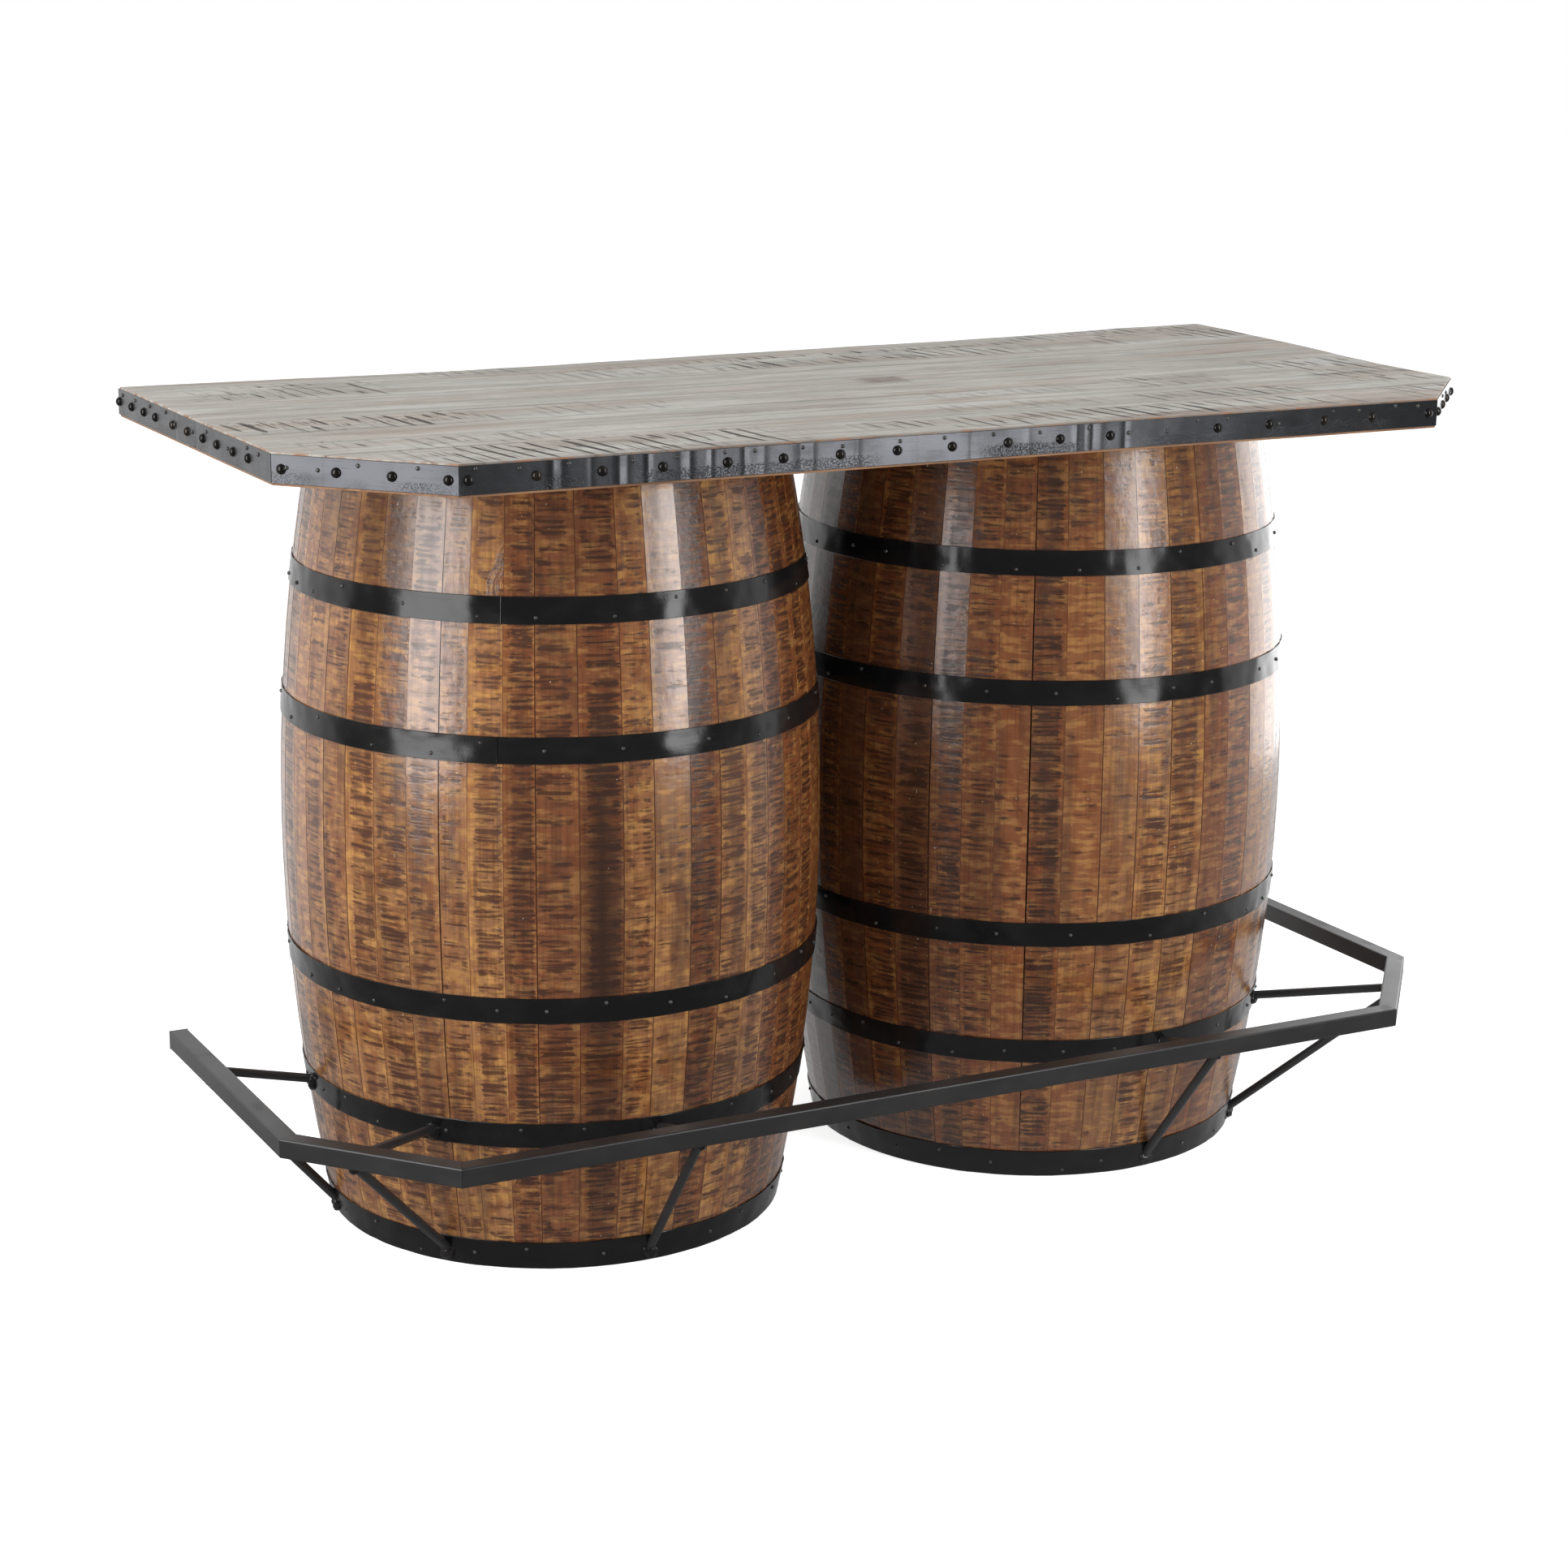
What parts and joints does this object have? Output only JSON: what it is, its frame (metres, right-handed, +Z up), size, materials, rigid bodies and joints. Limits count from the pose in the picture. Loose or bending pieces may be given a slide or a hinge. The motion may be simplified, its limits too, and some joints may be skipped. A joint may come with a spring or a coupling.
{
  "type": "barrel bar table",
  "caption": "Bar-height plank table with cut front corners and a nailed iron edge, on a pair of closed wooden barrels, with a square-tube foot rail on round struts.",
  "frame": {"origin": "on the floor, midway between the ends of the foot rail and midway between the front nails and the backs of the barrels", "axes": "+X along the bar to its right end as seen from the front, +Y to the back, +Z up"},
  "size_m": [1.689, 0.8322, 1.07],
  "materials": {
    "top_wood": "limed grey-brown planks with brown saw marks, satin",
    "edge_wood": "raw orange-brown wood under the edge of the top",
    "stave_wood": "stained staves with dark saw marks under a gloss lacquer",
    "head_wood": "plain wood, hidden in use",
    "band_iron": "blackened iron strip, dented and lacquered",
    "hoop_iron": "black painted hoop iron, satin",
    "rail_paint": "satin black paint on square tube and round bar"
  },
  "bodies": {
    "root": {"top_board_1": "top_wood", "top_board_2": "top_wood", "top_board_3": "top_wood", "top_board_4": "top_wood", "top_board_5": "top_wood", "top_board_6": "top_wood", "top_board_7": "top_wood", "top_board_8": "top_wood", "edge_batten_front": "edge_wood", "edge_batten_left_corner": "edge_wood", "edge_batten_left_end": "edge_wood", "edge_batten_right_corner": "edge_wood", "edge_batten_right_end": "edge_wood", "edge_batten_back_left": "edge_wood", "edge_batten_back_middle": "edge_wood", "edge_batten_back_right": "edge_wood", "edge_band_front": "band_iron", "edge_band_back": "band_iron", "edge_band_left_corner": "band_iron", "edge_band_left_end": "band_iron", "edge_band_right_corner": "band_iron", "edge_band_right_end": "band_iron", "left_barrel_staves": "stave_wood", "left_barrel_bottom_head": "head_wood", "left_barrel_top_head": "head_wood", "left_foot_hoop": "hoop_iron", "left_lower_quarter_hoop": "hoop_iron", "left_lower_bilge_hoop": "hoop_iron", "left_upper_bilge_hoop": "hoop_iron", "left_upper_quarter_hoop": "hoop_iron", "left_head_hoop": "hoop_iron", "left_top_cleat": "head_wood", "right_barrel_staves": "stave_wood", "right_barrel_bottom_head": "head_wood", "right_barrel_top_head": "head_wood", "right_foot_hoop": "hoop_iron", "right_lower_quarter_hoop": "hoop_iron", "right_lower_bilge_hoop": "hoop_iron", "right_upper_bilge_hoop": "hoop_iron", "right_upper_quarter_hoop": "hoop_iron", "right_head_hoop": "hoop_iron", "right_top_cleat": "head_wood", "foot_rail_front": "rail_paint", "foot_rail_left_corner": "rail_paint", "foot_rail_left_end": "rail_paint", "foot_rail_right_corner": "rail_paint", "foot_rail_right_end": "rail_paint", "foot_rail_left_cap": "rail_paint", "foot_rail_right_cap": "rail_paint", "left_side_upper_strut": "rail_paint", "left_side_lower_strut": "rail_paint", "left_corner_upper_strut": "rail_paint", "left_corner_lower_strut": "rail_paint", "left_front_upper_strut": "rail_paint", "left_front_lower_strut": "rail_paint", "right_front_upper_strut": "rail_paint", "right_front_lower_strut": "rail_paint", "right_corner_upper_strut": "rail_paint", "right_corner_lower_strut": "rail_paint"}
  },
  "joints": []
}
